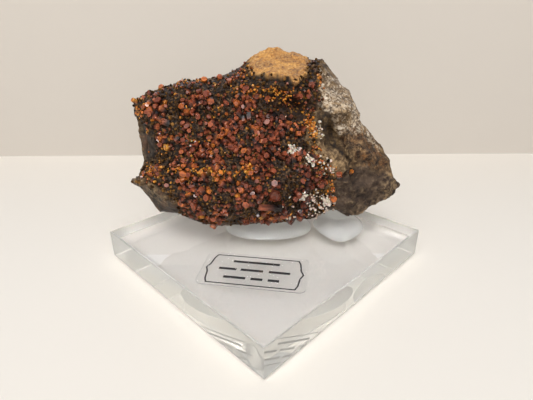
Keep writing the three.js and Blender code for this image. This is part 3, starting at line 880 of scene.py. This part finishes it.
def makeHostRock():
    # Weathered, iron-stained volcanic rock, broken by hand: rough, grey-brown, with pale quartz streaks.
    material, tree = newMaterial("broken host rock")
    place = addNode(tree, "ShaderNodeTexCoord").outputs["Object"]
    drawnOut = {"Scale": (1.0, 1.0, 2.0), "Rotation": (0.3, 0.9, 0.5), "Vector": place}
    stretched = addNode(tree, "ShaderNodeMapping", drawnOut).outputs[0]
    masks = {}
    for name in [*zones, "hollow", "underCap", "ridges"]:
        masks[name] = addNode(tree, "ShaderNodeAttribute", {"attribute_name": name}).outputs["Fac"]
    noises = {}
    for name, settings in rockNoises.items():
        vector = stretched if name == "streaks" else place
        noises[name] = addNode(tree, "ShaderNodeTexNoise", {**settings, "Vector": vector}).outputs[0]
    looks = {}
    for name, (source, stops) in rockRamps.items():
        looks[name] = addNode(tree, "ShaderNodeValToRGB", {"Fac": noises[source], "stops": stops}).outputs[0]

    def blended(share, first, second):
        return addNode(tree, "ShaderNodeMix", {"data_type": "RGBA", 0: share, 6: first, 7: second}).outputs[2]

    sides = addNode(tree, "ShaderNodeMath", {"operation": "MAXIMUM", 0: masks["flank"], 1: masks["facet"]})
    layers = [  # from the bottom up: what multiplies into each one's share, and its colour
        ([0.6], looks["speckle"]),
        ([masks["brown"]], looks["brown"]),
        ([masks["dark"]], blended(0.5, looks["darkPatch"], looks["darkFine"])),
        ([looks["vein"], looks["veinBreaks"], masks["pale"]], looks["pale"]),
        ([looks["thinVein"], masks["brown"]], "#b59f80"),
        ([sides.outputs[0]], looks["grey"]),
        # painted highlight: lighter where the chip ridges stand out
        ([masks["ridges"], looks["worn"]], "#a98d68"),
        # the concave scoop: dark brown rock and painted shade
        ([masks["scoop"]], looks["scoop"]),
        # the crust's bed: manganese-dark, and painted shade between the crystals
        ([masks["crust"]], looks["bed"]),
        # painted shade in the recess below the cap
        ([masks["hollow"]], looks["hollow"]),
        ([masks["cap"]], blended(0.4, looks["capGrain"], looks["capPatch"])),
        # painted shadow: near-black under the cap's lower edge
        ([masks["underCap"]], "#150e0a"),
    ]
    rock = looks["base"]
    for (share, *factors), colour in layers:
        for factor in factors:
            share = addNode(tree, "ShaderNodeMath", {"operation": "MULTIPLY", 0: share, 1: factor}).outputs[0]
        rock = blended(share, rock, colour)

    coarse = {"Strength": 0.7, "Distance": 0.9 * mm, "Height": noises["fine"]}
    broken = addNode(tree, "ShaderNodeBump", coarse).outputs[0]
    fine = {"Strength": 0.5, "Distance": 0.25 * mm, "Height": noises["grain"], "Normal": broken}
    surface = {
        "Base Color": rock, "Roughness": 0.7, "Specular IOR Level": 0.4,
        "Normal": addNode(tree, "ShaderNodeBump", fine).outputs[0],
    }
    return paintWith(material, surface)


def makeCrystalMaterial(recipe):
    # one recipe for all the crystals: a ramp read by each crystal's own tint, with a painted glow at its rim,
    # then darkened by grime, and by painted shade on the sides that face away from the light and down at the
    # foot
    material, tree = newMaterial(recipe["name"])
    place = addNode(tree, "ShaderNodeTexCoord").outputs["Object"]
    marks = {}
    for mark in ("tint", "edge", "facet", "rise"):
        marks[mark] = addNode(tree, "ShaderNodeAttribute", {"attribute_name": mark}).outputs["Fac"]
    # painted glow: the ramp is read brighter near the end face's rim and towards the top of the sides
    paintedRimGlow = {"operation": "MULTIPLY_ADD", 0: marks["edge"], 1: 0.24, 2: marks["tint"]}
    reach = addNode(tree, "ShaderNodeMath", paintedRimGlow).outputs[0]
    shade = addNode(tree, "ShaderNodeValToRGB", {"Fac": reach, "stops": recipe["colours"]}).outputs[0]
    speckNoise = {"Scale": perSize(0.9), "Detail": 3.0, "Vector": place}
    speck = addNode(tree, "ShaderNodeTexNoise", speckNoise).outputs[0]
    # grime is each crystal's own speckle; the darkening of the sides and the foot is painted shade
    grime, flank, foot = recipe["grimeAndPaintedShade"]
    for source, stops in (
        (speck, [(0.38, grime), (0.58, 1.0)]),
        (marks["facet"], [(0.0, flank), (1.0, 1.0)]),
        (marks["rise"], [(0.3, foot), (0.9, 1.0)]),
    ):
        layer = addNode(tree, "ShaderNodeValToRGB", {"Fac": source, "stops": stops}).outputs[0]
        multiply = {"data_type": "RGBA", "blend_type": "MULTIPLY", 0: 1.0, 6: shade, 7: layer}
        shade = addNode(tree, "ShaderNodeMix", multiply).outputs[2]
    bump = addNode(tree, "ShaderNodeBump", {"Strength": 0.2, "Distance": 0.05 * mm, "Height": speck})
    glossNoise = {"Scale": perSize(2.2), "Detail": 1.0, "Vector": place}
    gloss = addNode(tree, "ShaderNodeTexNoise", glossNoise).outputs[0]
    rough = addNode(tree, "ShaderNodeValToRGB", {"Fac": gloss, "stops": recipe["roughness"]})
    surface = {"Base Color": shade, "Normal": bump.outputs[0], "Roughness": rough.outputs[0]}
    return paintWith(material, {**recipe["surface"], **surface})


acrylicRamps = {  # each reads how level a face is: 0 on the sides, between them on the bevels, 1 on top
    "Base Color": [(0.92, "#fdfcf6"), (0.98, "#fafbfd")],
    "Transmission Weight": [(0.2, 0.76), (0.4, 0.78), (0.92, 0.78), (0.98, 1.0)],
    "Roughness": [(0.2, 0.0), (0.4, 0.1), (0.92, 0.1), (0.98, 0.0)],
}


def makeAcrylic():
    # Cast acrylic: water clear, its top and bottom polished, its sawn sides buffed and a little milky.
    material, tree = newMaterial("cast acrylic")
    normal = addNode(tree, "ShaderNodeNewGeometry").outputs["Normal"]
    upright = addNode(tree, "ShaderNodeSeparateXYZ", {0: normal}).outputs["Z"]
    level = addNode(tree, "ShaderNodeMath", {"operation": "ABSOLUTE", 0: upright}).outputs[0]
    surface = {"IOR": 1.49}
    for socket, stops in acrylicRamps.items():
        surface[socket] = addNode(tree, "ShaderNodeValToRGB", {"Fac": level, "stops": stops}).outputs[0]
    return paintWith(material, surface)


# grime is the crystals' own speckle; the darkest side and the foot are painted shade
crystalRecipes = {  # darkening: what is left of the colour in grime, on the darkest side, at the foot
    # Vanadinite: resinous to adamantine lustre and a high refractive index, so its flat faces flash.
    "vanadinite": {
        "name": "vanadinite crystal",
        "colours": [
            (0.0, "#150c08"), (0.15, "#2e1a13"), (0.32, "#532d20"), (0.5, "#7c3c29"), (0.66, "#a4583a"),
            (0.8, "#c16a2e"), (0.92, "#d67f2e"), (1.0, "#e3a044"),
        ],
        "roughness": [(0.58, 0.4), (0.64, 0.1)],
        "grimeAndPaintedShade": (0.5, 0.34, 0.05),
        "surface": {
            "IOR": 1.6, "Specular IOR Level": 0.4, "Subsurface Weight": 0.1,
            "Subsurface Scale": 0.5 * mm, "Subsurface Radius": (1.0, 0.3, 0.1),
        },
    },
    # The bed under the crystals: manganese-dark, dull and rough, olive-brown in places and at its painted rim
    # glow.
    "crustBed": {
        "name": "dark crystal bed",
        "colours": [(0.0, "#170e08"), (0.5, "#3a2715"), (0.85, "#634624"), (1.0, "#8c6334")],
        "roughness": [(0.0, 0.9), (1.0, 0.8)],
        "grimeAndPaintedShade": (0.5, 0.7, 0.6),
        "surface": {"IOR": 1.2},
    },
    # Milky quartz: white to cream, glassy, a little see-through at its tips.
    "quartz": {
        "name": "milky quartz",
        "colours": [(0.0, "#9b8672"), (0.4, "#d2bda8"), (1.0, "#f3e3d5")],
        "roughness": [(0.4, 0.4), (0.6, 0.15)],
        "grimeAndPaintedShade": (0.7, 0.8, 0.8),
        "surface": {"IOR": 1.54, "Subsurface Weight": 0.3, "Subsurface Scale": 0.5 * mm},
    },
    # Yellow-orange vanadinite dust: small, bright, half see-through grains.
    "yellow_crust": {
        "name": "yellow-orange crust",
        "colours": [(0.0, "#7a3f14"), (0.5, "#b8641c"), (1.0, "#dd9536")],
        "roughness": [(0.4, 0.4), (0.6, 0.25)],
        "grimeAndPaintedShade": (0.6, 0.7, 0.6),
        "surface": {"IOR": 1.6, "Subsurface Weight": 0.2, "Subsurface Scale": 0.4 * mm},
    },
}
plainRecipes = {
    # Clear vinyl label film: thin, slightly milky where its glue holds it.
    "film": ("clear vinyl film", {
        "Base Color": "#ffffff", "Roughness": 0.02, "IOR": 1.2, "Transmission Weight": 0.98,
    }),
    # Silicone mounting gel: soft, whitish, half see-through.
    "gel": ("silicone gel", {
        "Base Color": "#fffffa", "Roughness": 0.12, "IOR": 1.41, "Transmission Weight": 0.55,
        "Subsurface Weight": 1.0, "Subsurface Scale": 6.0 * mm, "Subsurface Radius": (1.0, 1.0, 1.0),
    }),
    # Black thermal print on the film: matt and thin.
    "ink": ("black print", {"Base Color": "#1d1b1a", "Roughness": 0.5}),
}
materials = {"hostRock": makeHostRock(), "acrylic": makeAcrylic()}
for key, recipe in crystalRecipes.items():
    materials[key] = makeCrystalMaterial(recipe)
for key, (name, surface) in plainRecipes.items():
    materials[key] = paintWith(newMaterial(name)[0], surface)
print("stage: materials made")

stoneTree = makeStone()
makeGround(stoneTree)
makeCrust(stoneTree)
makeLoneCrystals(stoneTree)
makeTufts(stoneTree)
makePads(stoneTree)
makeLabel()
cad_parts["slab"].data.materials.clear()
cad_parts["slab"].data.materials.append(materials["acrylic"])
print("stage: slab, pads and label made")

# floor, wall, light and camera
studio = {
    "floorFrom": -1.6, "wallAt": 0.118, "wallHeight": 0.094, "halfWidth": 1.2, "floorBelow": 0.0003,
    "cove": 0.0006, "coveSteps": 12, "fade": 0.0003,
    "floor": "#e7e0d6", "wall": "#c0b8ae",
}


def makeStage():
    # Matt painted board, seen from its front only: a floor that curves up into a low wall.
    material, tree = newMaterial("painted board")
    low = -studio["floorBelow"]
    place = addNode(tree, "ShaderNodeTexCoord").outputs["Object"]
    height = addNode(tree, "ShaderNodeSeparateXYZ", {0: place}).outputs["Z"]
    fade = {"From Min": low, "From Max": low + studio["fade"], "Value": height}
    rise = addNode(tree, "ShaderNodeMapRange", fade).outputs[0]
    tone = {"data_type": "RGBA", 0: rise, 6: studio["floor"], 7: studio["wall"]}
    colour = addNode(tree, "ShaderNodeMix", tone).outputs[2]
    paint = addNode(tree, "ShaderNodeBsdfPrincipled", {"Base Color": colour, "Roughness": 0.6}).outputs[0]
    through = addNode(tree, "ShaderNodeBsdfTransparent").outputs[0]
    behind = addNode(tree, "ShaderNodeNewGeometry").outputs["Backfacing"]
    both = addNode(tree, "ShaderNodeMixShader", {0: behind, 1: paint, 2: through})
    addNode(tree, "ShaderNodeOutputMaterial", {"Surface": both.outputs[0]})

    width, back, cove = studio["halfWidth"], studio["wallAt"], studio["cove"]
    profile = [(studio["floorFrom"], low)]
    for i in range(studio["coveSteps"] + 1):
        angle = math.pi / 2 * i / studio["coveSteps"]
        profile.append((back - cove + cove * math.sin(angle), low + cove - cove * math.cos(angle)))
    profile.append((back, studio["wallHeight"]))
    bm = bmesh.new()
    line = [bm.verts.new((-width, y, z)) for y, z in profile]
    edges = [bm.edges.new(pair) for pair in zip(line, line[1:])]
    swept = bmesh.ops.extrude_edge_only(bm, edges=edges)["geom"]
    moved = [item for item in swept if isinstance(item, bmesh.types.BMVert)]
    bmesh.ops.translate(bm, verts=moved, vec=(2 * width, 0, 0))
    bmesh.ops.recalc_face_normals(bm, faces=bm.faces)
    floorFace = max(bm.faces, key=lambda face: face.calc_area())
    floorFace.normal_update()
    if floorFace.normal.z < 0:
        bmesh.ops.reverse_faces(bm, faces=bm.faces)
    newObject("sweep", meshOf("sweep", bm, smooth=True), material)


lampSettings = {  # place, aim and size in metres, radiance, colour, and the kinds of light that don't see it
    "keyPanel": {
        "place": (-0.06, -0.46, 0.68), "aim": (0, 0, 0.03), "size": (0.32, 0.32), "glow": 12,
        "colour": "#ffffff", "hidden": [],
    },
    "frontPanel": {
        "place": (-0.1, -0.6, 0.8), "aim": (0, 0, 0.02), "size": (1.2, 0.8), "glow": 1.65,
        "colour": "#ffffff", "hidden": ["glossy"],
    },
    "backCard": {
        "place": (0, 0.5, 0.44), "aim": (0, 0, 0.02), "size": (1.5, 0.62), "glow": 1.6,
        "colour": "#f2f5ff", "hidden": ["diffuse", "transmission"],
    },
    "lowFill": {
        "place": (0.05, -0.9, 0.26), "aim": (0, 0, 0.02), "size": (1.1, 0.44), "glow": 2.4,
        "colour": "#ffffff", "hidden": ["glossy"],
    },
}
roomGlow = {"colour": "#eaf0f8", "strength": 0.2}


def makeLight():
    world = bpy.data.worlds.new("soft room")
    world.use_nodes = True
    background = world.node_tree.nodes["Background"]
    background.inputs["Color"].default_value = linear(roomGlow["colour"])
    background.inputs["Strength"].default_value = roomGlow["strength"]
    bpy.context.scene.world = world
    for name, plan in lampSettings.items():
        lamp = bpy.data.lights.new(name, "AREA")
        lamp.shape = "RECTANGLE"
        lamp.size, lamp.size_y = plan["size"]
        lamp.energy = plan["glow"] * math.pi * lamp.size * lamp.size_y
        lamp.color = linear(plan["colour"])[:3]
        holder = bpy.data.objects.new(name, lamp)
        holder.location = plan["place"]
        aim = Vector(plan["aim"]) - Vector(plan["place"])
        holder.rotation_euler = aim.to_track_quat("-Z", "Y").to_euler()
        for kind in ["camera", *plan["hidden"]]:
            setattr(holder, "visible_" + kind, False)
        bpy.context.scene.collection.objects.link(holder)


cameraSettings = {"place": (0.795, -117.89, 74.67), "down": 0.4232, "roll": -0.0054, "lens": 26.05}


def makeCamera():
    camera = bpy.data.cameras.new("camera")
    camera.lens = cameraSettings["lens"]
    camera.sensor_width = 36.0
    camera.clip_start = 0.005
    holder = bpy.data.objects.new("camera", camera)
    holder.location = Vector(cameraSettings["place"]) * mm
    pitch = Matrix.Rotation(math.pi / 2 - cameraSettings["down"], 3, "X")
    roll = Matrix.Rotation(cameraSettings["roll"], 3, "Z")
    holder.rotation_euler = (pitch @ roll).to_euler()
    bpy.context.scene.collection.objects.link(holder)
    bpy.context.scene.camera = holder


makeStage()
makeLight()
makeCamera()
bpy.context.scene.view_settings.view_transform = "Standard"
cycles = bpy.context.scene.cycles
lightBounces = 28  # light is mirrored many times inside the clear slab
cycles.max_bounces = lightBounces
cycles.transmission_bounces = lightBounces
cycles.glossy_bounces = lightBounces
cycles.blur_glossy = 0.0
cycles.sample_clamp_indirect = 60.0  # high, so that the lamps still light the floor through the slab
